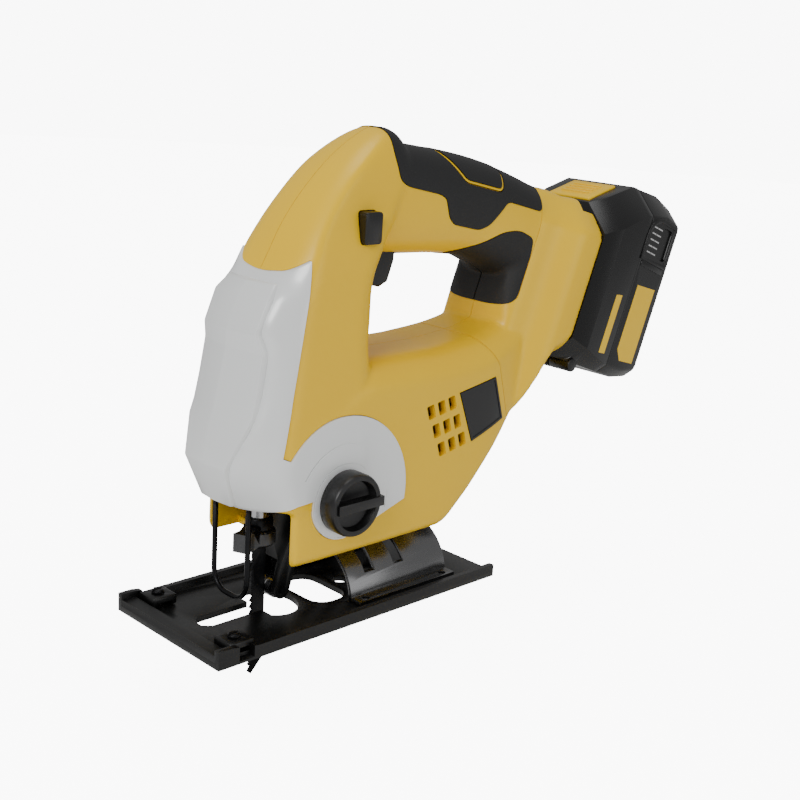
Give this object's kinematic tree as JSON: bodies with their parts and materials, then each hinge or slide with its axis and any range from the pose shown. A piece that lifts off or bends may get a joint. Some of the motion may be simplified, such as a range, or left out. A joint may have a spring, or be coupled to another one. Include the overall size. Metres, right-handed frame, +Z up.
{
  "type": "cordless jigsaw",
  "caption": "Cordless jigsaw with a D-handle, tilting shoe, orbital selector, blade clamp and a slide-on battery pack.",
  "frame": {"origin": "on the sole, on the middle line, 110.5 mm behind the shoe's front edge and under the bevel bracket", "axes": "+X from the blade end towards the battery, +Y to the tool's right, so the orbital knob is on the -Y side, +Z up out of the work"},
  "size_m": [0.3064, 0.0811, 0.2508],
  "materials": {
    "yellow_plastic": "satin moulded ABS with a fine grain",
    "silver_paint": "bright silver lacquer",
    "black_rubber": "soft overmould, matt",
    "black_plastic": "satin moulded nylon",
    "grey_plastic": "satin",
    "black_steel": "black coated steel",
    "bare_steel": "plated sheet and castings",
    "bright_steel": "ground",
    "bronze": "sintered bearing metal",
    "copper": "enamelled windings",
    "board_green": "circuit board",
    "cell_wrap": "shrink wrap"
  },
  "bodies": {
    "housing": {"housing_left": "yellow_plastic", "housing_right": "yellow_plastic", "rear_shell_left": "yellow_plastic", "rear_shell_right": "yellow_plastic", "nose_cover": "silver_paint", "grip_overmould_left": "black_rubber", "grip_overmould_right": "black_rubber", "grip_top_insert": "black_rubber", "rear_grip_left": "black_rubber", "rear_grip_right": "black_rubber", "plate_left": "black_plastic", "plate_right": "black_plastic", "housing_screw_1": "black_steel", "housing_screw_2": "black_steel", "housing_screw_3": "black_steel", "housing_screw_4": "black_steel", "housing_screw_5": "black_steel", "gear_frame": "bare_steel", "gear_axle": "bright_steel", "plunger_bush_lower": "bronze", "plunger_bush_upper": "bronze", "motor_can": "bare_steel", "motor_bearing_front": "bright_steel", "motor_bearing_rear": "bright_steel", "trigger_switch": "black_plastic", "control_board": "board_green", "terminal_block": "black_plastic", "chip_guard": "black_steel", "bevel_screw_1": "bright_steel", "bevel_screw_2": "bright_steel", "fork_pivot_pin": "bright_steel"},
    "armature": {"motor_shaft": "bright_steel", "rotor": "copper", "cooling_fan": "black_plastic", "pinion": "bright_steel"},
    "gear": {"drive_gear": "bare_steel", "eccentric_pin": "bright_steel"},
    "plunger": {"plunger": "bright_steel", "plunger_yoke": "bare_steel", "blade_clamp": "black_steel", "saw_blade": "black_steel"},
    "clamp_lever": {"clamp_ring": "black_steel"},
    "roller_bracket": {"roller_fork": "black_steel", "roller_pin": "black_steel"},
    "roller": {"guide_roller": "bright_steel"},
    "orbital_selector": {"orbital_knob": "black_plastic"},
    "trigger": {"trigger": "grey_plastic"},
    "lock": {"lock_button": "grey_plastic"},
    "base": {"shoe": "black_steel", "bevel_bracket": "bare_steel", "guide_clamp_left": "black_steel", "guide_clamp_right": "black_steel", "guide_screw_left": "black_steel", "guide_screw_right": "black_steel"},
    "battery": {"battery_front_shell": "black_plastic", "battery_rear_shell": "black_plastic", "cells_front_row": "cell_wrap", "cells_rear_row": "cell_wrap"},
    "release": {"battery_release": "yellow_plastic"}
  },
  "joints": [
    {"name": "gear_spin", "type": "hinge", "parent": "housing", "child": "gear", "pos_m": [-0.049, 0, 0.096], "axis": [1, 0, 0], "continuous": true},
    {"name": "armature_spin", "type": "hinge", "parent": "housing", "child": "armature", "pos_m": [-0.0005, 0, 0.07175], "axis": [1, 0, 0], "continuous": true},
    {"name": "plunger_stroke", "type": "slide", "parent": "housing", "child": "plunger", "axis": [0, 0, 1], "range_m": [0, 0.02]},
    {"name": "clamp_turn", "type": "hinge", "parent": "plunger", "child": "clamp_lever", "pos_m": [-0.061, 0, 0.034], "axis": [0, 0, -1], "range_deg": [0, 35], "stiffness_Nm_per_rad": 0.05, "springref_deg": -11.46},
    {"name": "bracket_rock", "type": "hinge", "parent": "housing", "child": "roller_bracket", "pos_m": [-0.0445, 0, 0.05], "axis": [0, -1, 0], "range_deg": [0, 3], "stiffness_Nm_per_rad": 0.5, "springref_deg": -5.73},
    {"name": "roller_spin", "type": "hinge", "parent": "roller_bracket", "child": "roller", "pos_m": [-0.0525, 0, 0.011], "axis": [0, 1, 0], "continuous": true},
    {"name": "orbital_turn", "type": "hinge", "parent": "housing", "child": "orbital_selector", "pos_m": [-0.04, -0.0336, 0.0595], "axis": [0, -1, 0], "range_deg": [0, 110]},
    {"name": "trigger_pull", "type": "slide", "parent": "housing", "child": "trigger", "axis": [-0.3499, 0, 0.9368], "range_m": [0, 0.005], "stiffness_N_per_m": 900, "springref_m": -0.003},
    {"name": "lock_push", "type": "slide", "parent": "housing", "child": "lock", "axis": [0, 1, 0], "range_m": [-0.003, 0.003]},
    {"name": "bevel_tilt", "type": "hinge", "parent": "housing", "child": "base", "pos_m": [0, 0, 0.002], "axis": [1, 0, 0], "range_deg": [-45, 45]},
    {"name": "battery_slide", "type": "slide", "parent": "housing", "child": "battery", "axis": [0.342, 0, 0.9397], "range_m": [0, 0.07]},
    {"name": "release_press", "type": "slide", "parent": "battery", "child": "release", "axis": [0.2587, 0, -0.966], "range_m": [0, 0.002], "stiffness_N_per_m": 1500, "springref_m": -0.002}
  ],
  "couplings": [
    {"joint": "armature_spin", "follows": "gear_spin", "ratio": -5}
  ]
}
